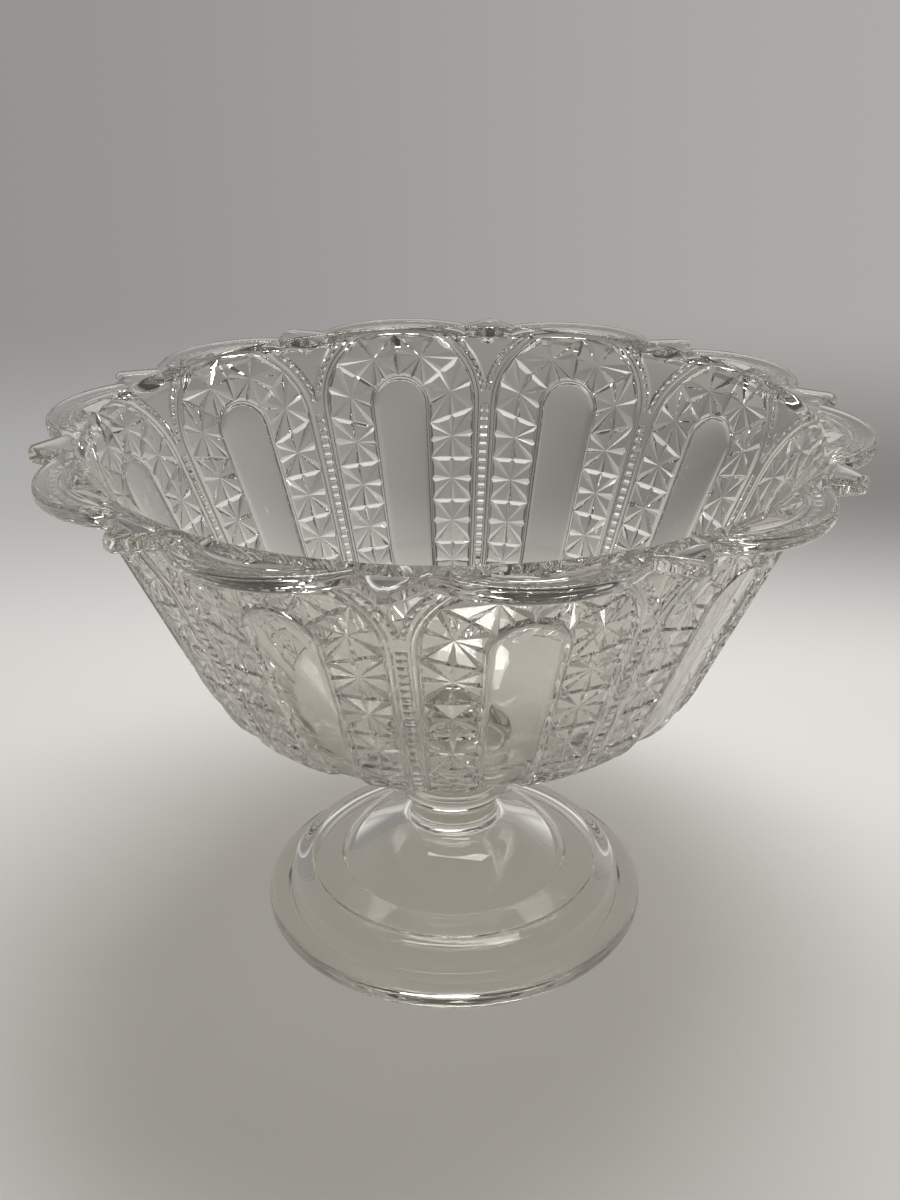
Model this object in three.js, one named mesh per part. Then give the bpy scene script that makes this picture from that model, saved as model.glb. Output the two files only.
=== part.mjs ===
// Footed serving bowl of clear pressed glass: a patterned bowl, the knop that joins it, and a hollow foot.
// Millimetres, +Z up. The origin is on the table under the middle of the foot, and a scallop faces -Y.
import * as THREE from 'three';
import { mergeVertices } from 'three/addons/utils/BufferGeometryUtils.js';

// Bowl
const archCount = 10; // arches round the bowl, each under one scallop of the rim
const bowlHeight = 155; // table to the top of the rim
const mouthRadius = 100; // inner edge of the rim's flat top
const mouthBevel = 4; // bevel inside the mouth, as wide as it is high
const wallLean = 23.8; // degrees that the wall leans outward
const wallThickness = 4.5;
const patternFoot = 88; // height at which the wall starts to turn under
const bottomBend = 28; // radius of that turn, outside
const seatHeight = 55.6; // flat under the bowl where the knop is joined
const seatRadius = 17.4;

// Rim
const rimThickness = 4.2;
const rimFillet = 4; // under the rim, where it flares from the wall
const rimEdge = 1.2; // softened edges
const rimLedge = 3.5; // width of the flat top at its narrowest, in a notch
const scallopReach = 9; // a scallop's middle beyond the notches
const pointReach = 7.5; // a point's tip beyond the notches
const pointTip = 2.6; // blunt end of a point
const pointSpread = 16.3; // notch to notch across a point
const pointDepth = 4.8; // height of a point's tip, in the middle
const keelDrop = 9; // top of the rim to where the keel under a point leaves the wall

// Pattern, from the line between two arches inward
const beadHalf = 2.3; // half of the strip between two ribs
const ribWidth = 1.6;
const starWidth = 15; // band of star blocks that runs up, over and down each arch
const grooveWidth = 1.75; // between the star band and the plain panel
const barHalf = 1.5; // half length of a bead, which lies across that strip
const beadPitch = 2.8; // bead to bead, and notch to notch over the arch
const beadDepth = 0.7; // hollows between the beads
const crestInset = 0.2; // share of a bead's length that each end slopes over
const gutterWidth = 0.5; // rib to the notched band over the arch
const notchOverlap = 1.1; // the notched band runs this far past the line between two arches
const scallopMargin = 2; // notched band to the edge of the scallop
const legRows = 3; // star blocks in each straight leg
const fanDrop = 4; // the fan of blocks starts this far under the spring of the arch
const fanTilt = 5; // rise of that first joint line across the band
const fanSplit = 38; // degrees above the spring at which the two fan blocks meet
const starDepth = 1.6; // a star's middle
const starEdgeDepth = 1.2; // joint lines between the blocks
const panelDepth = 0.6;

// Knop
const knopFoot = 36; // height of the joint with the foot's stem
const knopShoulder = 44; // height at which the knop is full

// Foot
const footRadius = 58;
const bandHeight = 5.2; // outer band that stands on the table
const bandRound = 1.8; // rounded edges of that band
const baseWidth = 6.2; // flat ring that the foot stands on
const ledgeWidth = 6.8; // flat top of the band
const mouldingWidth = 6.9;
const mouldingHeight = 9.6;
const stepWidth = 9.8;
const stepRise = 1.1;
const domeRise = 12.4;
const neckRadius = 12.9;
const neckFlare = 2.6; // dome's top beyond the neck
const footWall = 5; // glass above the hollow under the foot
const hollowRise = 23.5; // height of that hollow on the axis

// Fineness
const ringSteps = 4; // flat faces across half an arch, on the plain round walls
const bendSteps = 4;
const scallopSteps = 5;
const archSteps = 5;
const footSteps = 60; // flat faces round the foot and the knop
const curveSteps = 4;

const degrees = Math.PI / 180;
const halfAngle = Math.PI / archCount;
const lean = wallLean * degrees;
const wallUp = new THREE.Vector2(Math.sin(lean), Math.cos(lean));
const wallOut = new THREE.Vector2(Math.cos(lean), -Math.sin(lean));

// Meridian of the bowl, as (radius, height). The outer wall runs up from wallFoot, at the foot of the pattern
const innerTop = new THREE.Vector2(mouthRadius - mouthBevel, bowlHeight - mouthBevel);
const wallTop = innerTop.clone().addScaledVector(wallOut, wallThickness);
const wallFoot = wallTop.clone().addScaledVector(wallUp, (patternFoot - wallTop.y) / wallUp.y);
const rimUnder = bowlHeight - rimThickness;
const filletStart = (rimUnder - rimFillet + rimFillet * wallUp.x - wallFoot.y) / wallUp.y;
const filletEnd = filletStart + rimFillet * (Math.PI / 2 - lean);
const filletMiddle = wallFoot.clone().addScaledVector(wallUp, filletStart);
filletMiddle.addScaledVector(wallOut, rimFillet);

// The turn under the wall, and where it runs on straight to the seat
const bendMiddle = wallFoot.clone().addScaledVector(wallOut, -bottomBend);
const seatEdge = new THREE.Vector2(seatRadius, seatHeight);
const toSeat = seatEdge.clone().sub(bendMiddle);
const bendStartAngle = -lean;
const bendEndAngle = toSeat.angle() - 2 * Math.PI + Math.acos(bottomBend / toSeat.length());
const undersideOut = new THREE.Vector2(Math.cos(bendEndAngle), Math.sin(bendEndAngle));
const floorHeight = seatHeight - wallThickness / undersideOut.y;

// Scalloped outline of the rim
const notchRadius = mouthRadius + rimLedge;
const scallopRadius = notchRadius + scallopReach;
const pointRadius = notchRadius + pointReach;
const notchAngle = halfAngle - Math.asin(pointSpread / 2 / notchRadius);
const tipAngle = halfAngle - Math.asin(pointTip / 2 / pointRadius);

// Arches hang from the rim: each band is a leg below the spring and a part of a circle above it
const scallopRun = wallRunAt(scallopRadius - rimEdge);
const springRun = (scallopRun - scallopMargin - notchOverlap - halfAngle * wallFoot.x)
  / (1 + halfAngle * wallUp.x);
const springRadius = wallFoot.x + wallUp.x * springRun;
const archHalf = springRadius * halfAngle;
const ribOuter = archHalf - beadHalf;
const notchOuter = archHalf + notchOverlap;
const starOuter = ribOuter - ribWidth;
const starInner = starOuter - starWidth;
const panelHalf = starInner - grooveWidth;
const crossTurn = Math.acos(archHalf / notchOuter);

// A point of the outer wall: angle from the middle of the arch, run up the wall, depth into the glass
function onWall(angle, run, depth) {
  let spot = wallFoot.clone().addScaledVector(wallUp, run);
  let out = wallOut.clone();
  if (run > filletStart) {
    const turn = Math.max(Math.PI - lean - (run - filletStart) / rimFillet, Math.PI / 2);
    out = new THREE.Vector2(-Math.cos(turn), -Math.sin(turn));
    spot = filletMiddle.clone().addScaledVector(out, -rimFillet);
    spot.x += Math.max(run - filletEnd, 0);
  }
  spot.addScaledVector(out, -depth);
  return { angle, run, radius: spot.x, height: spot.y };
}

// The run at which the outer wall, with its flare under the rim, reaches a radius
function wallRunAt(radius) {
  if (radius >= filletMiddle.x) return filletEnd + radius - filletMiddle.x;
  const turn = Math.acos((radius - filletMiddle.x) / rimFillet);
  if (turn < Math.PI - lean) return filletStart + rimFillet * (Math.PI - lean - turn);
  return (radius - wallFoot.x) / wallUp.x;
}

// A point of one arch line: its reach from the arch's middle at the spring, and the way along it from there
function onArch(reach, way, depth) {
  if (way <= 0) return onWall(reach / springRadius, springRun + way, depth);
  const turn = way / reach;
  return onWall(reach * Math.cos(turn) / springRadius, springRun + reach * Math.sin(turn), depth);
}

// An arch line on the surface, from the foot of the pattern to the middle of the arch
function archLine(reach) {
  const line = [onArch(reach, -springRun, 0)];
  for (let i = 0; i <= archSteps; i++) line.push(onArch(reach, reach * Math.PI / 2 * i / archSteps, 0));
  return line;
}

// A row of points at one height, from the middle of the arch to the line between two arches
function ringRow(radius, height) {
  const row = [];
  for (let i = 0; i <= ringSteps; i++) row.push({ angle: halfAngle * i / ringSteps, radius, height });
  return row;
}

// A row of points on the turn under the wall, at a step from its start
function bendRow(reach, step) {
  const angle = THREE.MathUtils.lerp(bendStartAngle, bendEndAngle, step / bendSteps);
  return ringRow(bendMiddle.x + reach * Math.cos(angle), bendMiddle.y + reach * Math.sin(angle));
}

// Outline of the rim, from the middle of a scallop to the tip of a point
function rimOutline() {
  const notch = new THREE.Vector2(notchRadius * Math.sin(notchAngle), notchRadius * Math.cos(notchAngle));
  const middle = (scallopRadius ** 2 - notchRadius ** 2) / (2 * (scallopRadius - notch.y));
  const sweep = Math.atan2(notch.x, notch.y - middle);
  const outline = [];
  for (let i = 0; i <= scallopSteps; i++) {
    const turn = sweep * i / scallopSteps;
    const spot = new THREE.Vector2(0, middle);
    spot.x += (scallopRadius - middle) * Math.sin(turn);
    spot.y += (scallopRadius - middle) * Math.cos(turn);
    outline.push({ angle: Math.atan2(spot.x, spot.y), radius: spot.length() });
  }
  outline.push({ angle: tipAngle, radius: pointRadius }, { angle: halfAngle, radius: pointRadius });
  return outline;
}

// The skin of half an arch, mirrored and turned to its place round the bowl
function halfArch(side, arch, corners) {
  const start = -Math.PI / 2 + 2 * halfAngle * arch;

  function place(point) {
    const angle = start + side * point.angle;
    return [point.radius * Math.cos(angle), point.radius * Math.sin(angle), point.height];
  }

  function face(a, b, c) {
    const triangle = side > 0 ? [a, b, c] : [a, c, b];
    triangle.forEach((point) => corners.push(...place(point)));
  }

  // Share of the whole length at each point of a row
  function shares(row) {
    const spots = row.map((point) => new THREE.Vector3(...place(point)));
    const lengths = [0];
    for (let i = 1; i < spots.length; i++) lengths.push(lengths[i - 1] + spots[i].distanceTo(spots[i - 1]));
    return lengths.map((length) => length / (lengths.at(-1) || 1));
  }

  // Faces between two rows that run the same way, the first on the left hand, seen from outside
  function strip(left, right) {
    const leftShares = shares(left);
    const rightShares = shares(right);
    let i = 0;
    let j = 0;
    while (i < left.length - 1 || j < right.length - 1) {
      const rightDone = j === right.length - 1;
      const leftNext = rightDone || (i < left.length - 1 && leftShares[i + 1] <= rightShares[j + 1]);
      const next = leftNext ? left[i + 1] : right[j + 1];
      if (left[i] !== right[j] && next !== left[i] && next !== right[j]) face(left[i], right[j], next);
      if (leftNext) i++;
      else j++;
    }
  }

  // A row of beads lengthwise across a band, given by share across and share along it
  function beadRow(onRow, count, crestEnd) {
    const left = [onRow(0, 0, beadDepth)];
    const right = [onRow(1, 0, beadDepth)];
    for (let i = 0; i < count; i++) {
      const crest = [crestInset, crestEnd].map((across) => onRow(across, (i + 0.5) / count, 0));
      const next = [0, 1].map((across) => onRow(across, (i + 1) / count, beadDepth));
      strip([left.at(-1), crest[0], next[0]], [right.at(-1), crest[1], next[1]]);
      face(left.at(-1), crest[0], next[0]);
      if (crestEnd < 1) face(right.at(-1), next[1], crest[1]);
      else right.push(crest[1]);
      left.push(next[0]);
      right.push(next[1]);
    }
    return { left, right };
  }

  // Star band: joint lines between the blocks, each given by its way along the inner and the outer edge
  const legHeight = (springRun - fanDrop) / legRows;
  const joints = [];
  for (let i = 0; i < legRows; i++) joints.push([i * legHeight - springRun, i * legHeight - springRun]);
  joints.push([-fanDrop - fanTilt / 2, -fanDrop + fanTilt / 2]);
  for (const turn of [fanSplit * degrees, Math.PI / 2]) joints.push([starInner * turn, starOuter * turn]);

  // A point of the band: share of the way across it, and of the way between two joint lines
  function onBand(low, high, across, up, depth) {
    const way = THREE.MathUtils.lerp(
      THREE.MathUtils.lerp(low[0], low[1], across),
      THREE.MathUtils.lerp(high[0], high[1], across),
      up,
    );
    return onArch(starInner + starWidth * across, way, depth);
  }

  // Each block is an eight-rayed star of low pyramids
  const innerEdge = [];
  const outerEdge = [];
  for (let block = 0; block + 1 < joints.length; block++) {
    const low = joints[block];
    const high = joints[block + 1];
    const round = [[0, 0], [0.5, 0], [1, 0], [1, 0.5], [1, 1], [0.5, 1], [0, 1], [0, 0.5]];
    const rim = round.map(([across, up]) => onBand(low, high, across, up, starEdgeDepth));
    const middle = onBand(low, high, 0.5, 0.5, starDepth);
    for (let i = 0; i < rim.length; i++) {
      const a = round[i];
      const b = round[(i + 1) % round.length];
      const peak = onBand(low, high, (0.5 + a[0] + b[0]) / 3, (0.5 + a[1] + b[1]) / 3, 0);
      const next = rim[(i + 1) % rim.length];
      face(middle, rim[i], peak);
      face(rim[i], next, peak);
      face(next, middle, peak);
    }
    innerEdge.push(rim[0], rim[7]);
    outerEdge.push(rim[2], rim[3]);
    if (block + 2 === joints.length) {
      innerEdge.push(rim[6]);
      outerEdge.push(rim[4]);
    }
  }

  // Plain panel with its groove
  const panelEdge = archLine(panelHalf);
  const panelMiddle = panelEdge.map((point) => onWall(0, point.run, panelDepth));
  panelMiddle[panelMiddle.length - 1] = panelEdge.at(-1);
  strip(panelMiddle, panelEdge);
  strip(panelEdge, innerEdge);

  // Rib, and the strip of beads that opens into the notched band of the arch above the crossing of two bands
  const rib = archLine(ribOuter);
  strip(outerEdge, rib);
  const onStrip = (across, along, depth) => (
    onWall(halfAngle - (1 - across) * barHalf / springRadius, springRun * along, depth)
  );
  const onNotched = (across, along, depth) => {
    const reach = THREE.MathUtils.lerp(ribOuter + gutterWidth, notchOuter, across);
    return onArch(reach, reach * THREE.MathUtils.lerp(crossTurn, Math.PI / 2, along), depth);
  };
  const beads = beadRow(onStrip, Math.round(springRun / beadPitch), 1);
  const notchedLength = notchOuter * (Math.PI / 2 - crossTurn);
  const notched = beadRow(onNotched, Math.round(notchedLength / beadPitch), 1 - crestInset);
  strip(rib, [...beads.left, ...notched.left]);
  strip([beads.left.at(-1), notched.left[0]], [beads.right.at(-1), notched.right[0]]);

  // Plain glass from the notched band to the rim's lower edge, with a keel under each point
  const outline = rimOutline();
  const edgeAt = (inset, height) => (
    outline.map(({ angle, radius }) => ({ angle, radius: radius - inset, height }))
  );
  const under = outline.map(({ angle, radius }) => onWall(angle, wallRunAt(radius - rimEdge), 0));
  under.at(-1).height = bowlHeight - pointDepth;
  const [notch, tip, tipMiddle] = under.slice(-3);
  const keelFoot = onWall(halfAngle, (bowlHeight - keelDrop - patternFoot) / wallUp.y, 0);
  face(keelFoot, tipMiddle, tip);
  face(keelFoot, tip, notch);
  const field = [keelFoot, ...under.slice(0, -2).reverse(), ...notched.right.toReversed()];
  const flat = field.map((point) => new THREE.Vector2(point.angle * springRadius, point.run));
  for (const triangle of THREE.ShapeUtils.triangulateShape(flat, [])) {
    const [a, b, c] = triangle.map((i) => flat[i]);
    const turnsLeft = b.clone().sub(a).cross(c.clone().sub(a)) > 0;
    const [p, q, r] = triangle.map((i) => field[i]);
    if (turnsLeft) face(p, q, r);
    else face(p, r, q);
  }

  // Edge and top of the rim, then the smooth inside down to the middle of the floor
  const inside = [ringRow(mouthRadius, bowlHeight), ringRow(innerTop.x, innerTop.y)];
  for (let i = 0; i <= bendSteps; i++) inside.push(bendRow(bottomBend - wallThickness, i));
  inside.push(ringRow(seatRadius, floorHeight), [{ angle: 0, radius: 0, height: floorHeight }]);
  const rows = [
    under,
    edgeAt(0, rimUnder + rimEdge),
    edgeAt(0, bowlHeight - rimEdge),
    edgeAt(rimEdge, bowlHeight),
    ...inside,
  ];
  for (let i = 1; i < rows.length; i++) strip(rows[i], rows[i - 1]);

  // Foot of the pattern, the turn under it, and the underside down to the seat
  const bandFoot = [0, 0.5, 1].map((across) => onBand(joints[0], joints[1], across, 0, starEdgeDepth));
  const below = [[panelMiddle[0], panelEdge[0], ...bandFoot, rib[0], beads.left[0], beads.right[0]]];
  for (let i = 1; i <= bendSteps; i++) below.push(bendRow(bottomBend, i));
  below.push(ringRow(seatRadius, seatHeight), [{ angle: 0, radius: 0, height: seatHeight }]);
  for (let i = 1; i < below.length; i++) strip(below[i - 1], below[i]);
}

function bowlGeometry() {
  const corners = [];
  for (let arch = 0; arch < archCount; arch++) {
    for (const side of [1, -1]) halfArch(side, arch, corners);
  }
  const geometry = new THREE.BufferGeometry();
  geometry.setAttribute('position', new THREE.Float32BufferAttribute(corners, 3));
  return mergeVertices(geometry, 1e-3);
}

// A solid turned about the upright axis from an outline that starts and ends on it
function turned(outline) {
  const geometry = new THREE.LatheGeometry(outline.getPoints(curveSteps), footSteps);
  geometry.rotateX(Math.PI / 2);
  geometry.deleteAttribute('normal');
  geometry.deleteAttribute('uv');
  return mergeVertices(geometry, 1e-3);
}

// Cup-shaped wafer of glass that joins the bowl to the stem
function knopGeometry() {
  const outline = new THREE.Path();
  outline.moveTo(0, knopFoot);
  outline.lineTo(neckRadius, knopFoot);
  outline.quadraticCurveTo(seatRadius, (knopFoot + knopShoulder) / 2, seatRadius, knopShoulder);
  outline.lineTo(seatRadius, seatHeight);
  outline.lineTo(0, seatHeight);
  return turned(outline);
}

// Stem, dome, step, moulding and band, hollow underneath
function footGeometry() {
  const ledgeRadius = footRadius - ledgeWidth;
  const stepRadius = ledgeRadius - mouldingWidth;
  const domeRadius = stepRadius - stepWidth;
  const stepHeight = bandHeight + mouldingHeight;
  const domeFoot = stepHeight + stepRise;
  const domeTop = domeFoot + domeRise;
  const domeShoulder = neckRadius + neckFlare;
  const underStep = stepHeight - footWall;
  const baseRadius = footRadius - bandRound;
  const outline = new THREE.Path();
  outline.moveTo(0, hollowRise);
  outline.quadraticCurveTo(domeShoulder, hollowRise, domeRadius - footWall, underStep);
  outline.lineTo(stepRadius - footWall, underStep);
  outline.quadraticCurveTo(ledgeRadius - footWall, underStep, baseRadius - baseWidth, 0);
  outline.lineTo(baseRadius, 0);
  outline.lineTo(footRadius, bandRound);
  outline.lineTo(footRadius, bandHeight - bandRound);
  outline.lineTo(baseRadius, bandHeight);
  outline.lineTo(ledgeRadius, bandHeight);
  outline.quadraticCurveTo(ledgeRadius, stepHeight, stepRadius, stepHeight);
  outline.lineTo(domeRadius, domeFoot);
  outline.quadraticCurveTo((domeRadius + domeShoulder) / 2, domeTop, domeShoulder, domeTop);
  outline.quadraticCurveTo(neckRadius, domeTop, neckRadius, (domeTop + knopFoot) / 2);
  outline.lineTo(neckRadius, knopFoot);
  outline.lineTo(0, knopFoot);
  return turned(outline);
}

// Clear glass with a faint warm grey where it is thick
function glass(color) {
  const material = new THREE.MeshStandardMaterial({ color, roughness: 0.04, metalness: 0 });
  material.transparent = true;
  material.opacity = 0.35;
  return material;
}

const pieces = {
  bowl: [bowlGeometry(), glass(0xdedcd4)],
  knop: [knopGeometry(), glass(0xd8d5cb)],
  foot: [footGeometry(), glass(0xdcd9d0)],
};

const footedBowl = new THREE.Group();
for (const [name, [geometry, material]] of Object.entries(pieces)) {
  const piece = new THREE.Mesh(geometry, material);
  piece.name = name;
  footedBowl.add(piece);
}

export default footedBowl;
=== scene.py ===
from math import acos, asin, atan2, cos, hypot, pi, radians, sin

import bmesh
import bpy
from mathutils import Matrix, Vector


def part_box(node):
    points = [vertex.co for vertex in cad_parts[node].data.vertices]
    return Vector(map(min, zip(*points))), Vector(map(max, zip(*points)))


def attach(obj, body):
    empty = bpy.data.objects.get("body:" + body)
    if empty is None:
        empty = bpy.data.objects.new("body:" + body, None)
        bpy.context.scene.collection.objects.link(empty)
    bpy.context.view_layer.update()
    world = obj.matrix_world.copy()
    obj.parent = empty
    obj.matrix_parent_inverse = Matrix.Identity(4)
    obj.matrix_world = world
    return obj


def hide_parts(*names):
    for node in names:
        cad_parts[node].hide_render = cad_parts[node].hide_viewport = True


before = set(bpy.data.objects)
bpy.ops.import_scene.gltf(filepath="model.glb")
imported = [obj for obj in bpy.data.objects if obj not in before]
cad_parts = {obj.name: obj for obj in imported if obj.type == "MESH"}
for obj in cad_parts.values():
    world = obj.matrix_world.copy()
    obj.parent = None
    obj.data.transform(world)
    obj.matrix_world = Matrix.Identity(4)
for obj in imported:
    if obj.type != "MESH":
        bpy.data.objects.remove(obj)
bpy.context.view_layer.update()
mm = 0.001
bowlLow, bowlHigh = (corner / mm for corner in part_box("bowl"))
knopLow, knopHigh = (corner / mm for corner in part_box("knop"))
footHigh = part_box("foot")[1] / mm
jointGap = 0.02  # millimetres between two fused faces, so that a ray meets both
weldGap = 0.002  # millimetres: points nearer than this become one
sliverGap = 0.001
sharpAngle = 40  # degrees: an edge that bends more stays sharp
roundStep = 7  # degrees for each face of a rounded corner
scene = bpy.context.scene
print("frame:", ", ".join(sorted(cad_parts)))


# A shader socket that does sums, each of which adds a Math node
class Flow:
    def __init__(self, tree, socket=None):
        self.tree = tree
        self.socket = socket

    def add(self, kind, settings, sockets, output=0):
        node = self.tree.nodes.new(kind)
        for name, value in settings.items():
            setattr(node, name, value)
        for name, value in sockets.items():
            if isinstance(value, Flow):
                self.tree.links.new(value.socket, node.inputs[name])
            else:
                node.inputs[name].default_value = value
        return Flow(self.tree, node.outputs[output] if node.outputs else None)

    def sums(self, operation, first, second):
        return self.add("ShaderNodeMath", {"operation": operation}, {0: first, 1: second})

    def __add__(self, other):
        return self.sums("ADD", self, other)

    def __radd__(self, other):
        return self.sums("ADD", other, self)

    def __sub__(self, other):
        return self.sums("SUBTRACT", self, other)

    def __rsub__(self, other):
        return self.sums("SUBTRACT", other, self)

    def __mul__(self, other):
        return self.sums("MULTIPLY", self, other)

    def __rmul__(self, other):
        return self.sums("MULTIPLY", other, self)

    def blend(self, share, first, second):  # of two colours, through the node's colour sockets
        sockets = {"Factor": share, 6: first, 7: second}
        return self.add("ShaderNodeMix", {"data_type": "RGBA"}, sockets, 2)

    def ramp(self, low, high):  # 0 at low, 1 at high, smooth between
        return self.add("ShaderNodeMapRange", {"interpolation_type": "SMOOTHSTEP"}, {
            "Value": self, "From Min": low, "From Max": high})


def emptyTree(owner):
    owner.use_nodes = True
    owner.node_tree.nodes.clear()
    return Flow(owner.node_tree)


# Pressed glass, in metres: slow waves left by the mould and thin cloudy smears
glass = {
    "clear": (0.81, 0.8, 0.764, 1.0),
    "cloudy": (0.79, 0.778, 0.736, 1.0),
    "footPaintedLight": (0.9, 0.89, 0.855, 1.0),  # painted light: the foot's glass is made paler so that it shows brighter, standing in for the light the glass gathers onto the sheet beneath it
    "footTop": (0.034, 0.044),  # heights between which that painted light ends
    "wear": 0.01,  # roughness of the smears
    "ior": 1.5,
    "waves": 60.0,  # per metre
    "waveDetail": 1.0,
    "waveHeight": 0.00012,
    "smears": 35.0,  # per metre
    "smearDetail": 6.0,
    "smearGrain": 0.6,
    "smearEdge": (0.5, 0.72),
    "depthColour": (0.88, 0.87, 0.84, 1.0),
    "depthDensity": 8.0,
    "lampLight": (0.6, 0.59, 0.56, 1.0),  # what each surface lets through to the shadow
}


def pressedGlass():
    material = bpy.data.materials.new("clear_pressed_glass")
    flow = emptyTree(material)
    spot = flow.add("ShaderNodeTexCoord", {}, {}, "Object")
    height = flow.add("ShaderNodeSeparateXYZ", {}, {"Vector": spot}, "Z")
    waves = flow.add("ShaderNodeTexNoise", {}, {
        "Vector": spot, "Scale": glass["waves"], "Detail": glass["waveDetail"]})
    smears = flow.add("ShaderNodeTexNoise", {}, {
        "Vector": spot,
        "Scale": glass["smears"],
        "Detail": glass["smearDetail"],
        "Roughness": glass["smearGrain"]})
    cloud = smears.ramp(*glass["smearEdge"])
    tint = flow.blend(cloud, glass["clear"], glass["cloudy"])
    # painted light: paler glass low on the foot stands in for light gathered under the foot
    tint = flow.blend(height.ramp(*glass["footTop"]), glass["footPaintedLight"], tint)
    bump = flow.add("ShaderNodeBump", {}, {
        "Strength": 1.0, "Distance": glass["waveHeight"], "Height": waves})
    clear = flow.add("ShaderNodeBsdfPrincipled", {}, {
        "Base Color": tint,
        "Roughness": glass["wear"] * cloud,
        "IOR": glass["ior"],
        "Transmission Weight": 1.0,
        "Normal": bump})
    # the three pieces are fused, so light goes straight on through the faces where they meet
    joints = 0
    for joint in (knopLow.z, knopHigh.z):
        joints = joints + flow.add("ShaderNodeMath", {"operation": "COMPARE"}, {
            0: height, 1: joint * mm, 2: jointGap * mm})
    through = flow.add("ShaderNodeBsdfTransparent", {}, {})
    whole = flow.add("ShaderNodeMixShader", {}, {0: joints, 1: clear, 2: through})
    lampLight = flow.add("ShaderNodeBsdfTransparent", {}, {"Color": glass["lampLight"]})
    fromLamp = flow.add("ShaderNodeLightPath", {}, {}, "Is Shadow Ray")
    surface = flow.add("ShaderNodeMixShader", {}, {0: fromLamp, 1: whole, 2: lampLight})
    depth = flow.add("ShaderNodeVolumeAbsorption", {}, {
        "Color": glass["depthColour"], "Density": glass["depthDensity"]})
    flow.add("ShaderNodeOutputMaterial", {}, {"Surface": surface, "Volume": depth})
    return material


clearGlass = pressedGlass()
print("glass mixed")


# Points and faces of a skin, with rows of points that are joined to each other
class Skin:
    def __init__(self):
        self.points = []
        self.faces = []
        self.smooth = []

    def row(self, spots):
        start = len(self.points)
        self.points.extend(spots)
        return list(range(start, len(self.points)))

    def face(self, corners, smooth=True):
        self.faces.append(corners)
        self.smooth.append(smooth)

    # faces between rows of one length, each on the left hand of the next, seen from outside
    def sheet(self, rows, smooth=True):
        for left, right in zip(rows, rows[1:]):
            for i in range(len(left) - 1):
                self.face((left[i], right[i], right[i + 1], left[i + 1]), smooth)

    # triangles between two rows of any lengths
    def lace(self, left, right):
        leftShares, rightShares = self.shares(left), self.shares(right)
        i = j = 0
        while i < len(left) - 1 or j < len(right) - 1:
            leftNext = j == len(right) - 1
            if i < len(left) - 1 and not leftNext:
                leftNext = leftShares[i + 1] <= rightShares[j + 1]
            self.face((left[i], right[j], left[i + 1] if leftNext else right[j + 1]))
            if leftNext:
                i += 1
            else:
                j += 1

    # share of the row's length at each of its points
    def shares(self, row):
        spots = [atAngle(*self.points[i]) for i in row]
        lengths = [0.0]
        for a, b in zip(spots, spots[1:]):
            lengths.append(lengths[-1] + (b - a).length)
        return [length / (lengths[-1] or 1) for length in lengths]


def atAngle(angle, radius, height):
    return Vector((radius * cos(angle), radius * sin(angle), height))


def mix(a, b, share):
    return a + (b - a) * share


# points of a rounded corner between two lines
def rounded(start, corner, end, count):
    shares = [i / count for i in range(count + 1)]
    return [start.lerp(corner, share).lerp(corner.lerp(end, share), share) for share in shares]


def makePiece(name, node, skin):
    mesh = bpy.data.meshes.new(name)
    mesh.from_pydata([spot * mm for spot in skin.points], [], skin.faces)
    mesh.polygons.foreach_set("use_smooth", skin.smooth)
    work = bmesh.new()
    work.from_mesh(mesh)
    bmesh.ops.remove_doubles(work, verts=work.verts, dist=weldGap * mm)
    bmesh.ops.dissolve_degenerate(work, edges=work.edges, dist=sliverGap * mm)
    bmesh.ops.delete(work, geom=[edge for edge in work.edges if edge.is_wire], context="EDGES")
    loose = sum(1 for edge in work.edges if not edge.is_manifold)
    volume = work.calc_volume(signed=True) / (10 * mm) ** 3
    smooth = [face.smooth for face in work.faces]
    work.to_mesh(mesh)
    work.free()
    mesh.set_sharp_from_angle(angle=radians(sharpAngle))
    mesh.polygons.foreach_set("use_smooth", smooth)
    mesh.materials.append(clearGlass)
    piece = bpy.data.objects.new(name, mesh)
    scene.collection.objects.link(piece)
    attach(piece, "root")
    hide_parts(node)
    print(f"{name}: {len(mesh.polygons)} faces, {loose} loose edges, {volume:.1f} cm3")
    return piece


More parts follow.
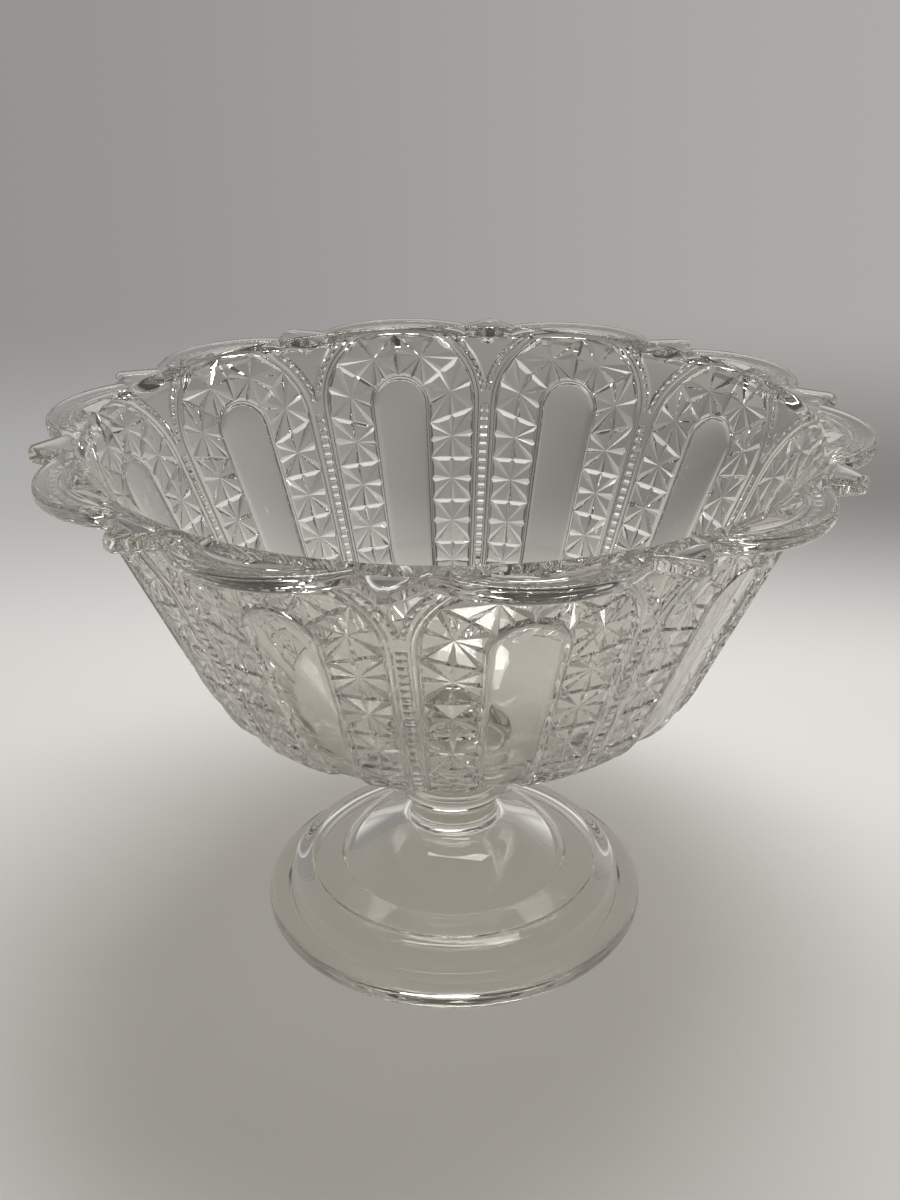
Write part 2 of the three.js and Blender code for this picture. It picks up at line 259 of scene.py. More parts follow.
# Bowl, in millimetres and degrees: rim and wall, then the pattern of an arch from its edge inward
bowl = {
    "arches": 10,
    "mouth": 100.0,  # inner edge of the rim's flat top
    "bevel": 4.0,
    "lean": 23.8,
    "wall": 4.5,
    "wallFoot": 88.0,  # height at which the wall starts to turn under
    "bend": 28.0,  # turn under the wall
    "seat": 17.4,
    "rimThick": 4.2,
    "fillet": 4.0,
    "edgeRound": 1.5,
    "mouthRound": 0.8,
    "plungerLine": (0.9, 0.65),  # thin slope left inside by the plunger
    "ledge": 3.5,  # flat top at its narrowest
    "tip": 2.6,  # blunt end of a point between two scallops
    "spread": 16.3,  # width of a point where it leaves the scallops
    "tipThick": 4.8,
    "keelDrop": 6.5,  # the keel under a point starts this far under the top
    "edgeShare": 0.1,  # a ring this near to the plunger's line keeps it crisp
    "insideShares": (0.01, 0.2, 0.4, 0.6, 0.8),  # rings down the inside
    "floorShares": (0.75, 0.5, 0.25),
    "bendShares": (0.35, 0.7, 1),  # rings from the turn to the floor
    "underShares": (0, 0.15, 0.4, 0.7, 1),  # rings from the pattern to the seat
    "underGap": 1.5,
    "beadHalf": 2.0,
    "barHalf": 1.5,
    "beadPitch": 2.8,
    "beadDepth": 0.65,
    "beadShape": ((0, 0), (0.32, 0.95), (0.55, 1), (0.78, 0.95), (0.9, 0.75)),  # height along the pitch
    "beadEnds": ((0, 0), (0.12, 0.7), (0.28, 0.95), (0.6, 1), (1, 1)),  # and across the column
    "rib": 1.9,
    "ribShape": ((0.12, 0.75), (0.26, 0.3), (0.4, 0.05), (0.56, 0), (0.72, 0.05), (0.87, 0.3)),
    "starWidth": 15.0,
    "groove": 1.75,
    "gutter": 0.2,
    "bandFloors": ((0, 1), (0.5, 1), (0.75, 0.3), (1, 0.22)),  # depth towards the scallop's middle
    "notchHeights": ((0, 1), (0.35, 1.15), (0.55, 0.8), (0.75, 0.3), (1, 0.3)),
    "notchEnds": ((0, 0), (0.3, 0), (0.5, 0.85), (0.65, 1), (0.88, 1), (1, 0)),  # across the band
    "notchReach": 0.3,  # the notched band ends this far past the line between two arches
    "ridgeReach": 1.15,  # and the ridge round it this far
    "ridgeWidth": 0.83,
    "ridgeTop": 0.2,
    "pointShares": (0.22, 0.45),  # of the ridge, up to the keel's foot and to the scallop
    "scallopMargin": 2.0,
    "legRows": 5,  # star blocks from the underside to the spring of the arch
    "patternFoot": 28.4,  # the pattern starts this far round the bend, from the foot of the wall
    "fanDrop": 4.0,  # the fan of blocks starts this far under the spring
    "fanTilt": 5.0,  # rise of its first joint line across the band
    "fanSplit": 38.0,  # turn of its middle joint line
    "starDepths": (1.05, 0.8),  # in the middle of a block and beside its sides
    "rayHalf": 1.15,  # half width of a ray at its end
    "cuts": (0.3, 0.75, 0.75),  # widths of a block's sloping sides: lower, outer, inner
    "upperCuts": (1.0, 1.25),  # the same of its upper side, in the lowest and in the highest block
    "panelDepth": 0.75,
    "panelHollow": 0.35,
    "panelShares": (0, 0.3, 0.6, 0.85),
    "panelBorder": ((0.3, 0.55), (0.65, 0.1), (0.9, 0), (1.2, 0.2), (1.5, 0.8)),  # width, and depth
    "ringSteps": 12,
    "legSteps": 18,
    "archSteps": 16,
    "roundSteps": 5,
    "keelSteps": 6,
    "lobeSteps": 16,
    "tipSteps": 4,
    "plainSteps": 5,
    "bendSteps": 12,
}

halfAngle = pi / bowl["arches"]
lean = radians(bowl["lean"])
wallUp = Vector((sin(lean), cos(lean)))
wallOut = Vector((cos(lean), -sin(lean)))
rimTop = bowlHigh.z
rimUnder = rimTop - bowl["rimThick"]
seatHeight = bowlLow.z + jointGap / 2
innerTop = Vector((bowl["mouth"] - bowl["bevel"], rimTop - bowl["bevel"]))
wallTop = innerTop + wallOut * bowl["wall"]
wallFoot = wallTop + wallUp * ((bowl["wallFoot"] - wallTop.y) / wallUp.y)
fillet = bowl["fillet"]
filletStart = (rimUnder - fillet + fillet * wallUp.x - wallFoot.y) / wallUp.y
filletEnd = filletStart + fillet * (pi / 2 - lean)
filletMiddle = wallFoot + wallUp * filletStart + wallOut * fillet

# the turn under the wall, then straight on to the seat
bendMiddle = wallFoot - wallOut * bowl["bend"]
toSeat = Vector((bowl["seat"], seatHeight)) - bendMiddle
bendEnd = atan2(toSeat.y, toSeat.x) + acos(bowl["bend"] / toSeat.length)
bendLength = -(lean + bendEnd) * bowl["bend"]

# a scallop faces -Y and a point faces +X, so the frame's box gives how far they reach
scallopRadius, pointRadius = bowlHigh.y, bowlHigh.x
notchRadius = bowl["mouth"] + bowl["ledge"]
notchAngle = halfAngle - asin(bowl["spread"] / 2 / notchRadius)
tipAngle = halfAngle - asin(bowl["tip"] / 2 / pointRadius)


# way up the outer wall, with its flare under the rim, at which it reaches a radius
def wallRunAt(radius):
    if radius >= filletMiddle.x:
        return filletEnd + radius - filletMiddle.x
    turn = acos((radius - filletMiddle.x) / fillet)
    if turn < pi - lean:
        return filletStart + fillet * (pi - lean - turn)
    return (radius - wallFoot.x) / wallUp.x


# the arches hang from the rim: a leg, then part of a circle above the spring
scallopRun = wallRunAt(scallopRadius - bowl["edgeRound"])
springRun = (scallopRun - bowl["scallopMargin"] - bowl["ridgeReach"] - halfAngle * wallFoot.x) / (
    1 + halfAngle * wallUp.x)
springRadius = wallFoot.x + wallUp.x * springRun
archHalf = springRadius * halfAngle
ribOuter = archHalf - bowl["beadHalf"]
starOuter = ribOuter - bowl["rib"]
starInner = starOuter - bowl["starWidth"]
panelHalf = starInner - bowl["groove"]
legLength = springRun + bowl["patternFoot"]


# angle from the arch's middle, way up the wall and depth into the glass, as angle, radius and height
def onWall(angle, run, depth):
    spot, out = wallFoot + wallUp * run, wallOut
    if run < 0:
        turn = max(run / bowl["bend"] - lean, bendEnd)
        out = Vector((cos(turn), sin(turn)))
        spot = bendMiddle + out * bowl["bend"] + Vector((out.y, -out.x)) * max(-run - bendLength, 0)
    if run > filletStart:
        turn = max(pi - lean - (run - filletStart) / fillet, pi / 2)
        out = Vector((-cos(turn), -sin(turn)))
        spot = filletMiddle - out * fillet
        spot.x += max(run - filletEnd, 0)
    spot = spot - out * depth
    return angle, spot.x, spot.y


# angle and way up the wall, at some reach from the arch's middle line and a way past the spring
def onArch(reach, way):
    if way <= 0:
        return reach / springRadius, springRun + way
    return reach * cos(way / reach) / springRadius, springRun + reach * sin(way / reach)


def archLine(reach):
    legs = [-legLength * (1 - i / bowl["legSteps"]) for i in range(bowl["legSteps"])]
    turns = [i * reach * pi / 2 / bowl["archSteps"] for i in range(bowl["archSteps"] + 1)]
    return [onArch(reach, way) for way in legs + turns]


# where a band past the line between two arches crosses it
def crossTurn(reach):
    return acos(archHalf / reach)


# a sunk block with eight raised rays, between two joint lines given at both edges of the band
def starBlock(skin, low, high, upperCut):
    wide, tall = bowl["starWidth"], (sum(high) - sum(low)) / 2

    def onBlock(spot, depth):
        across, up = spot.x / wide + 0.5, spot.y / tall + 0.5
        way = mix(mix(*low, across), mix(*high, across), up)
        return onWall(*onArch(starInner + wide * across, way), depth)

    ways = ((-1, -1), (0, -1), (1, -1), (1, 0), (1, 1), (0, 1), (-1, 1), (-1, 0))
    corners = [Vector((x * wide / 2, y * tall / 2)) for x, y in ways]
    edge = skin.row([onBlock(corner, 0) for corner in corners])
    deep, shallow = bowl["starDepths"]
    middle, = skin.row([onBlock(Vector((0, 0)), deep)])
    rayGap = bowl["rayHalf"]
    lowerCut, outerCut, innerCut = bowl["cuts"]
    cuts = (lowerCut, outerCut, upperCut, innerCut)
    for i in range(len(ways)):
        a, b = corners[i], corners[(i + 1) % len(ways)]
        along = (b - a).normalized()
        cut = cuts[i // 2]
        inward = Vector((-along.y, along.x)) * cut
        cornerGap = cut + rayGap * 2 ** 0.5
        startGap, endGap = (cornerGap, rayGap) if i % 2 == 0 else (rayGap, cornerGap)
        start, end = skin.row([
            onBlock(a + along * startGap + inward, shallow),
            onBlock(b - along * endGap + inward, shallow)])
        first, last = edge[i], edge[(i + 1) % len(ways)]
        skin.face((middle, start, end), False)
        skin.face((middle, first, start), False)
        skin.face((last, middle, end), False)
        skin.face((first, last, end, start), False)
    return edge


def starBand(skin):
    legHeight = (legLength - bowl["fanDrop"]) / bowl["legRows"]
    joints = [(i * legHeight - legLength,) * 2 for i in range(bowl["legRows"])]
    joints.append((-bowl["fanDrop"] - bowl["fanTilt"] / 2, -bowl["fanDrop"] + bowl["fanTilt"] / 2))
    joints += [(starInner * turn, starOuter * turn) for turn in (radians(bowl["fanSplit"]), pi / 2)]
    edges = []
    for i, (low, high) in enumerate(zip(joints, joints[1:])):
        upperCut = mix(*bowl["upperCuts"], min(i / (bowl["legRows"] - 1), 1))
        edges.append(starBlock(skin, low, high, upperCut))
    inner = [i for edge in edges for i in (edge[0], edge[7])] + [edges[-1][6]]
    outer = [i for edge in edges for i in (edge[2], edge[3])] + [edges[-1][4]]
    return inner, outer, edges[0][:3]


# lines along the arch at some steps past a reach, each with its depth
def arches(skin, reach, profile):
    rows = []
    for step, depth in profile:
        rows.append(skin.row([onWall(*spot, depth) for spot in archLine(reach + step)]))
    return rows


# hollow plain panel with a thin raised border
def panelRows(skin):
    edge = archLine(panelHalf)
    rows = []
    for share in bowl["panelShares"]:
        hollow = bowl["panelHollow"] * (1 - share ** 2) / edge[0][0]
        rows.append(skin.row([
            onWall(angle * share, run, bowl["panelDepth"] + hollow * angle) for angle, run in edge]))
    return rows + arches(skin, panelHalf, ((0, bowl["panelDepth"]), *bowl["panelBorder"]))


def ribRows(skin):
    shape = (*bowl["ribShape"], (1, bowl["beadDepth"]))
    return arches(skin, starOuter, [(share * bowl["rib"], depth) for share, depth in shape])


# value at a place in a table of places and values
def alongTable(table, place):
    for (low, first), (high, last) in zip(table, table[1:]):
        if place <= high:
            return mix(first, last, (place - low) / (high - low))
    return table[-1][1]


# beads that lie across a band, given by share across, share along and depth
def beadRows(skin, onBand, count, rises, heights, floors):
    places = [(i + share, swell) for i in range(count) for share, swell in bowl["beadShape"]]
    places.append((count, 0))
    rows = []
    for across, rise in rises:
        spots = []
        for place, swell in places:
            along = place / count
            floor = bowl["beadDepth"] * alongTable(floors, along)
            height = rise * swell * alongTable(heights, along)
            spots.append(onBand(across, along, floor * (1 - height)))
        rows.append(skin.row(spots))
    skin.sheet(rows, False)
    return rows


# the column of beads between two arches
def beadColumn(skin):
    def onColumn(across, along, depth):
        angle = halfAngle - (1 - across) * bowl["barHalf"] / springRadius
        return onWall(angle, springRun - legLength * (1 - along), depth)

    level = ((0, 1), (1, 1))
    count = round(legLength / bowl["beadPitch"])
    return beadRows(skin, onColumn, count, bowl["beadEnds"], level, level)


# the notched band over the arch
def notchedBand(skin):
    inner, outer = ribOuter + bowl["gutter"], archHalf + bowl["notchReach"]

    def onNotched(across, along, depth):
        reach = mix(inner, outer, across)
        return onWall(*onArch(reach, reach * mix(crossTurn(outer), pi / 2, along)), depth)

    count = round(outer * (pi / 2 - crossTurn(outer)) / bowl["beadPitch"])
    return beadRows(skin, onNotched, count, bowl["notchEnds"], bowl["notchHeights"], bowl["bandFloors"])


# outline of the rim from the middle of a scallop to the tip of a point, seen from above
def rimOutline():
    notch = Vector((notchRadius * sin(notchAngle), notchRadius * cos(notchAngle)))
    middle = (scallopRadius ** 2 - notchRadius ** 2) / (2 * (scallopRadius - notch.y))
    sweep = atan2(notch.x, notch.y - middle)
    reach = scallopRadius - middle
    turns = [sweep * i / bowl["lobeSteps"] for i in range(bowl["lobeSteps"] + 1)]
    outline = [Vector((reach * sin(turn), middle + reach * cos(turn))) for turn in turns]
    tip = Vector((pointRadius * sin(tipAngle), pointRadius * cos(tipAngle)))
    outline += [notch.lerp(tip, (i + 1) / bowl["tipSteps"]) for i in range(bowl["tipSteps"])]
    outline.append(Vector((pointRadius * sin(halfAngle), pointRadius * cos(halfAngle))))
    return outline


# angles and radii of that outline, drawn in by a width
def drawnIn(outline, width):
    before = Vector((-outline[1].x, outline[1].y))
    after = Matrix.Rotation(-2 * halfAngle, 2) @ Vector((-outline[-2].x, outline[-2].y))
    line = [before] + outline + [after]
    drawn = []
    for a, b, c in zip(line, line[1:], line[2:]):
        normals = [Vector((p.y - q.y, q.x - p.x)).normalized() for p, q in ((a, b), (b, c))]
        middle = (normals[0] + normals[1]).normalized()
        spot = b - middle * (width / middle.dot(normals[0]))
        drawn.append((atan2(spot.x, spot.y), hypot(spot.x, spot.y)))
    return drawn


# ridge round the notched band, plain glass above it, the points with their keels, and the rounded edge
def rimRows(skin, notched):
    outline = rimOutline()
    lower = drawnIn(outline, bowl["edgeRound"])
    lobes, steps, tips = bowl["lobeSteps"], bowl["keelSteps"], bowl["tipSteps"]
    under = [(angle, wallRunAt(radius)) for angle, radius in lower[:lobes + 1]]
    keelFoot = halfAngle, (rimTop - bowl["keelDrop"] - wallFoot.y) / wallUp.y
    ridge = archHalf + bowl["ridgeReach"]
    crossing = onArch(ridge, ridge * crossTurn(ridge))

    def spaced(a, b, count):
        return [tuple(mix(p, q, i / count) for p, q in zip(a, b)) for i in range(count)]

    top = spaced(crossing, keelFoot, steps) + spaced(keelFoot, under[-1], steps) + under[::-1]
    keelShare, lobeShare = bowl["pointShares"]
    shares = spaced((0,), (keelShare,), steps) + spaced((keelShare,), (lobeShare,), steps)
    shares += spaced((lobeShare,), (1,), lobes) + [(1,)]
    rows = []
    for step, sunk in ((-bowl["ridgeWidth"], 1), (0, 0), (bowl["ridgeTop"], 0)):
        spots = []
        for share, in shares:
            floor = alongTable(bowl["bandFloors"], share)
            reach = ridge + step * (floor if sunk else 1)
            way = reach * mix(crossTurn(reach), pi / 2, share)
            spots.append((*onArch(reach, way), sunk * floor))
        rows.append(skin.row([
            onWall(angle, run, bowl["beadDepth"] * depth) for angle, run, depth in spots]))
    low = [spot[:2] for spot in spots]
    for i in range(bowl["plainSteps"]):
        up = (i + 1) / bowl["plainSteps"]
        rows.append(skin.row([
            onWall(mix(a[0], b[0], up), mix(a[1], b[1], up), 0) for a, b in zip(low, top)]))
    skin.lace(notched, rows[0])
    skin.sheet(rows[:2], False)
    skin.sheet(rows[1:])

    rise, lobe = rows[-1][steps:2 * steps + 1], rows[-1][:2 * steps - 1:-1]
    tipHeight = rimTop - bowl["tipThick"]
    notchHeight = skin.points[lobe[-1]][2]
    sideLine = lower[lobes + 1:-1]
    side = skin.row([
        (*spot, mix(notchHeight, tipHeight, (i + 1) / tips)) for i, spot in enumerate(sideLine)])
    tip, = skin.row([(*lower[-1], tipHeight)])
    keel = [rise[0]] + skin.row(spaced(skin.points[rise[0]], skin.points[tip], tips)[1:]) + [tip]
    skin.lace([lobe[-1]] + side, keel)
    skin.lace(rise[:0:-1], rise[:1])

    edges = [lobe + side + [tip]]
    bases = [skin.points[i][2] for i in edges[0]]
    soft, steps = bowl["edgeRound"], bowl["roundSteps"]
    for i in range(1, steps + 1):
        turn = pi / 2 * i / steps
        spots = zip(drawnIn(outline, soft * (1 - sin(turn))), bases)
        edges.append(skin.row([(*spot, base + soft * (1 - cos(turn))) for spot, base in spots]))
    for i in range(steps + 1):
        turn = pi / 2 * i / steps
        spots = drawnIn(outline, soft * (1 - cos(turn)))
        edges.append(skin.row([(*spot, rimTop - soft * (1 - sin(turn))) for spot in spots]))
    skin.sheet(edges[::-1])
    return edges[-1]


def ringRow(skin, spot):
    steps = bowl["ringSteps"]
    return skin.row([(halfAngle * i / steps, spot.x, spot.y) for i in range(steps + 1)])


# meridian of the turn under the wall at some reach from its middle, and on to the floor
def bendLine(reach, floor):
    steps = bowl["bendSteps"]
    turns = [mix(-lean, bendEnd, i / steps) for i in range(steps + 1)]
    line = [bendMiddle + Vector((reach * cos(turn), reach * sin(turn))) for turn in turns]
    return line + [line[-1].lerp(floor, share) for share in bowl["bendShares"]]


# smooth inside, from the rim's flat top down to the middle of the floor
def insideRows(skin, rim):
    soft = bowl["mouthRound"]
    upper = innerTop + Vector(bowl["plungerLine"])
    mouth = upper + wallUp * ((rimTop - upper.y) / wallUp.y)
    start, end = mouth + Vector((soft, 0)), mouth - wallUp * soft
    floor = Vector((bowl["seat"], seatHeight - bowl["wall"] / sin(bendEnd)))
    bend = bendLine(bowl["bend"] - bowl["wall"], floor)
    line = rounded(start, mouth, end, bowl["roundSteps"])
    line += [upper.lerp(end, bowl["edgeShare"]), upper, innerTop]
    line += [innerTop.lerp(bend[0], share) for share in bowl["insideShares"]] + bend
    line += [Vector((floor.x * share, floor.y)) for share in bowl["floorShares"]]
    rings = [ringRow(skin, spot) for spot in line]
    middle = skin.row([(0, 0, floor.y)])
    skin.lace(rings[0], rim)
    skin.sheet(rings[::-1])
    skin.lace(middle, rings[-1])


def underRows(skin, patternFoot):
    start = Vector(onWall(0, -bowl["patternFoot"] - bowl["underGap"], 0)[1:])
    seatEdge = Vector((bowl["seat"], seatHeight))
    rings = [ringRow(skin, start.lerp(seatEdge, share)) for share in bowl["underShares"]]
    skin.lace(patternFoot, rings[0])
    skin.sheet(rings)
    skin.lace(rings[-1], skin.row([(0, 0, seatHeight)]))


# one half arch of the bowl, from the arch's middle to the line between two arches
def halfArch():
    skin = Skin()
    starInside, starOutside, starFoot = starBand(skin)
    panel = panelRows(skin)
    skin.sheet(panel)
    skin.lace(panel[-1], starInside)
    ribs = ribRows(skin)
    skin.lace(starOutside, ribs[0])
    skin.sheet(ribs)
    beads = beadColumn(skin)
    notches = notchedBand(skin)
    skin.lace(ribs[-1], beads[0] + notches[0])
    skin.lace([beads[0][-1]] + [row[0] for row in notches], [row[-1] for row in beads])
    rim = rimRows(skin, notches[-1])
    insideRows(skin, rim)
    patternFoot = [row[0] for row in panel] + starFoot + [row[0] for row in ribs + beads]
    underRows(skin, patternFoot)
    return skin


def makeBowl():
    half, whole = halfArch(), Skin()
    for arch in range(bowl["arches"]):
        for side in (1, -1):
            start = -pi / 2 + 2 * halfAngle * arch
            spots = whole.row([
                atAngle(start + side * angle, radius, height) for angle, radius, height in half.points])
            for corners, smooth in zip(half.faces, half.smooth):
                whole.face([spots[i] for i in corners[::side]], smooth)
    return makePiece("pressedBowl", "bowl", whole)


# an outline of corners (radius, height, softened before, softened after), turned about the upright axis
def turned(corners, steps):
    line = []
    spots = [Vector(corner[:2]) for corner in corners]
    for i, (spot, corner) in enumerate(zip(spots, corners)):
        if i in (0, len(spots) - 1) or not corner[2]:
            line.append(spot)
            continue
        a = spot + (spots[i - 1] - spot).normalized() * corner[2]
        b = spot + (spots[i + 1] - spot).normalized() * corner[3]
        count = max(2, round((spot - a).angle(b - spot) / radians(roundStep)))
        line += rounded(a, spot, b, count)
    skin = Skin()
    rings = [skin.row([atAngle(2 * pi * k / steps, *spot) for k in range(steps + 1)]) for spot in line]
    skin.sheet(rings[::-1])
    return skin


# Knop, in millimetres: the wafer of glass between the bowl and the stem
knop = {
    "neck": 12.9,
    "shoulder": 6.0,  # height at which it is full
    "steps": 128,
}


def makeKnop():
    low, high = knopLow.z + jointGap / 2, knopHigh.z - jointGap / 2
    neck, wide = knop["neck"], knopHigh.x
    rise = knop["shoulder"] / 2
    corners = [
        (0, low, 0, 0),
        (neck, low, 0, 0),
        (wide, low + rise, hypot(wide - neck, rise), rise),
        (wide, high, 0, 0),
        (0, high, 0, 0),
    ]
    return makePiece("joiningKnop", "knop", turned(corners, knop["steps"]))


# Foot, in millimetres: stem, dome, step, moulding and band, hollow underneath
foot = {
    "bandHeight": 5.2,
    "bandRound": 2.5,
    "baseWidth": 6.2,
    "ledgeWidth": 6.8,
    "mouldingWidth": 6.9,
    "mouldingHeight": 9.6,
    "stepWidth": 9.8,
    "stepRise": 1.1,
    "domeRise": 12.4,
    "neck": 12.9,
    "neckFlare": 3.2,
    "wall": 5.0,
    "hollowRise": 23.5,
    "soft": 0.3,  # creases between them
    "stepRiser": (0.3, 0.4),  # the step's edge, below and above its height
    "domeRiser": 0.8,
    "draft": 0.5,  # what a riser leans inward
    "seam": (1.1, 1.2),  # width and depth of the groove round the moulding
    "steps": 160,
}


def makeFoot():
    f = foot
    soft = f["soft"]
    wide, stemTop = footHigh.x, footHigh.z - jointGap / 2
    ledge = wide - f["ledgeWidth"]
    step = ledge - f["mouldingWidth"]
    dome = step - f["stepWidth"]
    shoulder = f["neck"] + f["neckFlare"]
    stepHeight = f["bandHeight"] + f["mouldingHeight"]
    domeFoot = stepHeight + f["stepRise"]
    domeTop = domeFoot + f["domeRise"]
    mouldingTop = stepHeight - f["stepRiser"][0]
    underStep = stepHeight - f["wall"]
    domeMiddle = (dome + shoulder) / 2
    hollowFoot = dome - f["wall"]
    baseInner = wide - f["bandRound"] - f["baseWidth"]
    hollowSlope = hypot(hollowFoot - shoulder, f["hollowRise"] - underStep)
    domeSlope = hypot(dome - domeMiddle, domeTop - domeFoot - f["domeRiser"])
    corners = [
        (0, f["hollowRise"], 0, 0),
        (shoulder, f["hollowRise"], shoulder, hollowSlope - soft),
        (hollowFoot, underStep, soft, soft),
        (step - f["wall"] + f["mouldingWidth"], underStep, f["mouldingWidth"], f["mouldingWidth"]),
        (baseInner, 0, soft, soft),
        (wide, 0, f["bandRound"], f["bandRound"]),
        (wide, f["bandHeight"], f["bandRound"], f["bandRound"]),
        (ledge + f["seam"][0], f["bandHeight"], soft, soft),
        (ledge, f["bandHeight"] - f["seam"][1], soft, soft),
        (ledge, mouldingTop, mouldingTop - f["bandHeight"] - soft, f["mouldingWidth"] - soft),
        (step, mouldingTop, soft, soft),
        (step - f["draft"], stepHeight + f["stepRiser"][1], soft, soft),
        (dome + f["draft"], domeFoot, soft, soft),
        (dome, domeFoot + f["domeRiser"], soft, soft),
        (domeMiddle, domeTop, domeSlope - soft, domeMiddle - shoulder),
        (f["neck"], domeTop, f["neckFlare"], (stemTop - domeTop) / 2),
        (f["neck"], stemTop, 0, 0),
        (0, stemTop, 0, 0),
    ]
    return makePiece("pedestalFoot", "foot", turned(corners, f["steps"]))


pieces = makeBowl(), makeKnop(), makeFoot()
for piece in pieces:
    piece.visible_diffuse = False  # the room's light goes through to the sheet
for piece in pieces[1:]:
    piece.visible_shadow = False  # and the lamps' too, where the glass is plain


# Pale sheet that fades into the wall, and a plain room with two soft lamps overhead, in metres
room = {
    "sheet": (0.74, 0.72, 0.69, 1.0),
    "sheetRough": 0.7,
    "sheetShine": 0.3,
    "sheetSize": 3.0,
    "airGap": 0.0001,  # thin air under the foot, so that its base mirrors
    "fade": (0.14, 0.37),  # from the bowl towards the wall
    "farFade": (0.5, 1.1),  # and towards all sides
    "wallWay": (0.25, 0.968, 0.0),  # direction of the wall from the bowl
    "wallLow": ((0.43, 0.425, 0.415, 1.0), (0.24, 0.23, 0.22, 1.0)),  # at the left and at the right
    "wallHigh": ((0.3, 0.295, 0.29, 1.0), (0.42, 0.405, 0.39, 1.0)),
    "wallSides": (-0.15, 0.5),  # directions between which left becomes right
    "wallBend": (-0.34, -0.23),  # and low becomes high
    "wallTurn": (0.2, 0.7),  # the wall fades towards the sides
    "ceiling": (0.07, 0.066, 0.06, 1.0),
    "ceilingFrom": (0.42, 0.72),  # upward part of a direction
    "front": (0.16, 0.156, 0.15, 1.0),  # darker behind the camera
    "glow": (1.0, 0.99, 0.975, 1.0),  # pale band behind, above what the camera sees
    "glowFrom": (-0.12, 0.05),  # parts of a direction again: up, back and to the side
    "glowTo": (0.17, 0.22),
    "glowBack": (0.0, 0.4),
    "glowLeft": (-0.35, -0.15),
    "glowRight": (0.5, 0.7),
    "ambient": (0.14, 0.14, 0.14, 1.0),
    "broadLamp": ((0.09, 0.12, 0.75), (0.55, 0.36), 3.5),  # place, size and power
    "narrowLamp": ((0.07, 0.12, 0.74), (0.46, 0.14), 2.2),  # the one that shows in the glass
}


def makeSheet():
    half = room["sheetSize"] / 2
    mesh = bpy.data.meshes.new("paleSheet")
    spots = [(-half, -half, 0), (half, -half, 0), (half, half, 0), (-half, half, 0)]
    mesh.from_pydata(spots, [], [(0, 1, 2, 3)])
    material = bpy.data.materials.new("pale_sheet")
    flow = emptyTree(material)
    spot = flow.add("ShaderNodeTexCoord", {}, {}, "Object")
    away = flow.add("ShaderNodeVectorMath", {"operation": "DOT_PRODUCT"}, {
        0: spot, 1: room["wallWay"]}, "Value")
    far = flow.add("ShaderNodeVectorMath", {"operation": "LENGTH"}, {0: spot}, "Value")
    faded = flow.sums("MAXIMUM", away.ramp(*room["fade"]), far.ramp(*room["farFade"]))
    paper = flow.add("ShaderNodeBsdfPrincipled", {}, {
        "Base Color": room["sheet"],
        "Roughness": room["sheetRough"],
        "Specular IOR Level": room["sheetShine"]})
    through = flow.add("ShaderNodeBsdfTransparent", {}, {})
    surface = flow.add("ShaderNodeMixShader", {}, {0: faded, 1: paper, 2: through})
    flow.add("ShaderNodeOutputMaterial", {}, {"Surface": surface})
    mesh.materials.append(material)
    sheet = bpy.data.objects.new("paleSheet", mesh)
    sheet.location.z = -room["airGap"]
    scene.collection.objects.link(sheet)


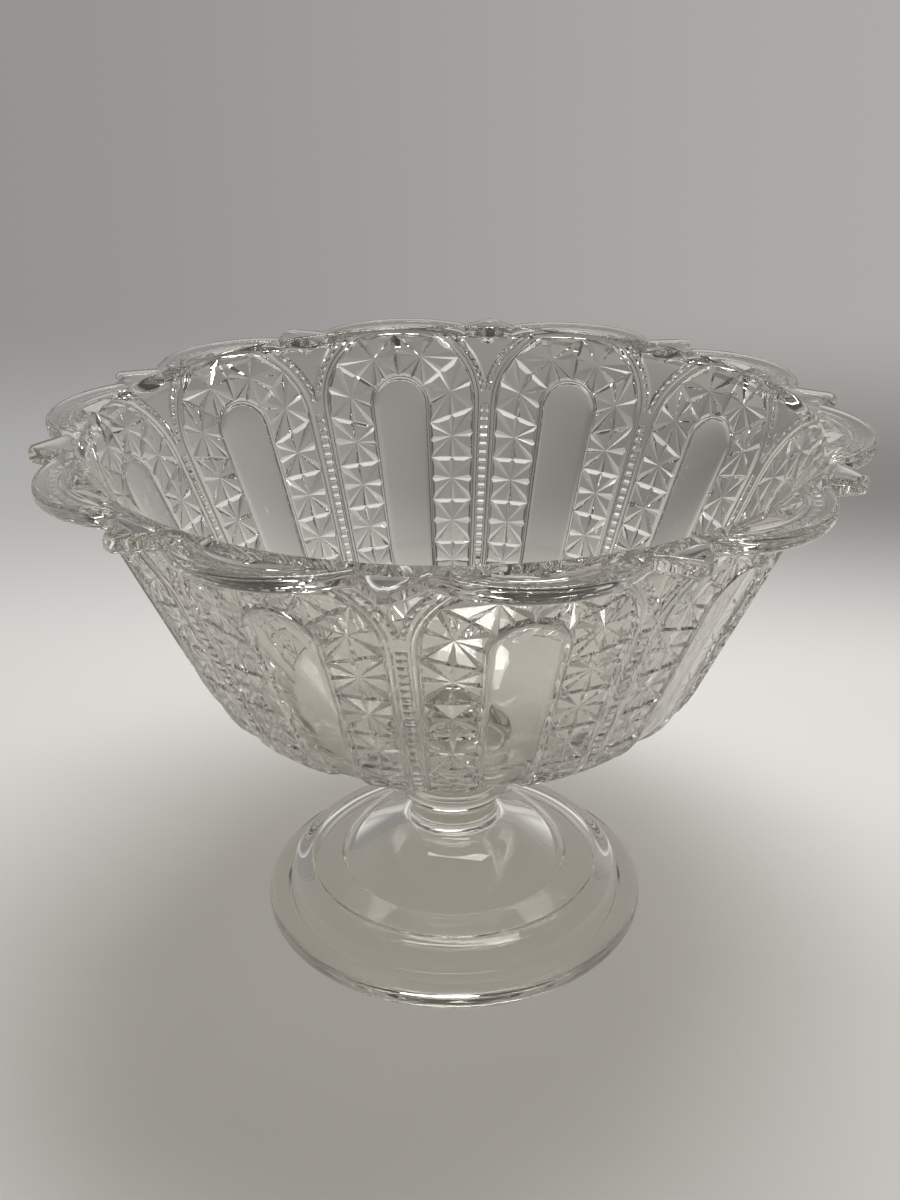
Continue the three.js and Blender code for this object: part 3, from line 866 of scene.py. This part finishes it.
def makeRoom():
    scene.world = bpy.data.worlds.new("plainRoom")
    flow = emptyTree(scene.world)
    way = flow.add("ShaderNodeTexCoord", {}, {}, "Generated")
    side, back, up = (flow.add("ShaderNodeSeparateXYZ", {}, {"Vector": way}, axis) for axis in "XYZ")
    right = side.ramp(*room["wallSides"])
    low, high = (flow.blend(right, *room[level]) for level in ("wallLow", "wallHigh"))
    wall = flow.blend(up.ramp(*room["wallBend"]), low, high)
    byCamera, byShine, byGlass = (
        flow.add("ShaderNodeLightPath", {}, {}, f"Is {kind} Ray")
        for kind in ("Camera", "Glossy", "Transmission"))
    inside = flow.blend(back.ramp(*room["wallTurn"]) + byCamera, room["front"], wall)
    inside = flow.blend(up.ramp(*room["ceilingFrom"]), inside, room["ceiling"])
    glow = up.ramp(*room["glowFrom"]) * (1 - up.ramp(*room["glowTo"])) * back.ramp(*room["glowBack"])
    glow = glow * side.ramp(*room["glowLeft"]) * (1 - side.ramp(*room["glowRight"])) * byGlass
    shown = flow.blend(glow, inside, room["glow"])
    colour = flow.blend(byCamera + byShine + byGlass, room["ambient"], shown)
    light = flow.add("ShaderNodeBackground", {}, {"Color": colour, "Strength": 1.0})
    flow.add("ShaderNodeOutputWorld", {}, {"Surface": light})


def makeLamp(name, shown):  # in the glass
    data = bpy.data.lights.new(name, "AREA")
    data.shape = "RECTANGLE"
    place, (data.size, data.size_y), data.energy = room[name]
    lamp = bpy.data.objects.new(name, data)
    lamp.location = place
    lamp.rotation_euler = (-lamp.location).to_track_quat("-Z", "Y").to_euler()
    lamp.visible_glossy = lamp.visible_transmission = shown
    scene.collection.objects.link(lamp)


# Camera where the photograph was taken from, in degrees and metres
view = {
    "azimuth": -10.8,
    "away": 0.3654,
    "height": 0.2731,
    "down": 25.3,
    "aside": 0.11,
    "roll": -0.42,
    "lens": 42.2,  # millimetres
}


def makeCamera():
    data = bpy.data.cameras.new("photoCamera")
    data.lens = view["lens"]
    camera = bpy.data.objects.new("photoCamera", data)
    turn = Matrix.Rotation(radians(view["azimuth"] + view["aside"]), 4, "Z")
    tilt = Matrix.Rotation(radians(90 - view["down"]), 4, "X")
    roll = Matrix.Rotation(radians(view["roll"]), 4, "Z")
    side = radians(view["azimuth"])
    place = Vector((sin(side) * view["away"], -cos(side) * view["away"], view["height"]))
    camera.matrix_world = Matrix.Translation(place) @ turn @ tilt @ roll
    scene.collection.objects.link(camera)
    scene.camera = camera


makeSheet()
makeRoom()
makeLamp("broadLamp", False)
makeLamp("narrowLamp", True)
makeCamera()
scene.view_settings.view_transform = "Standard"
scene.cycles.max_bounces = 32
scene.cycles.transmission_bounces = 32
scene.cycles.glossy_bounces = 16
scene.cycles.transparent_max_bounces = 32
scene.cycles.caustics_reflective = False
scene.cycles.caustics_refractive = False
print("room, lamps and camera placed")
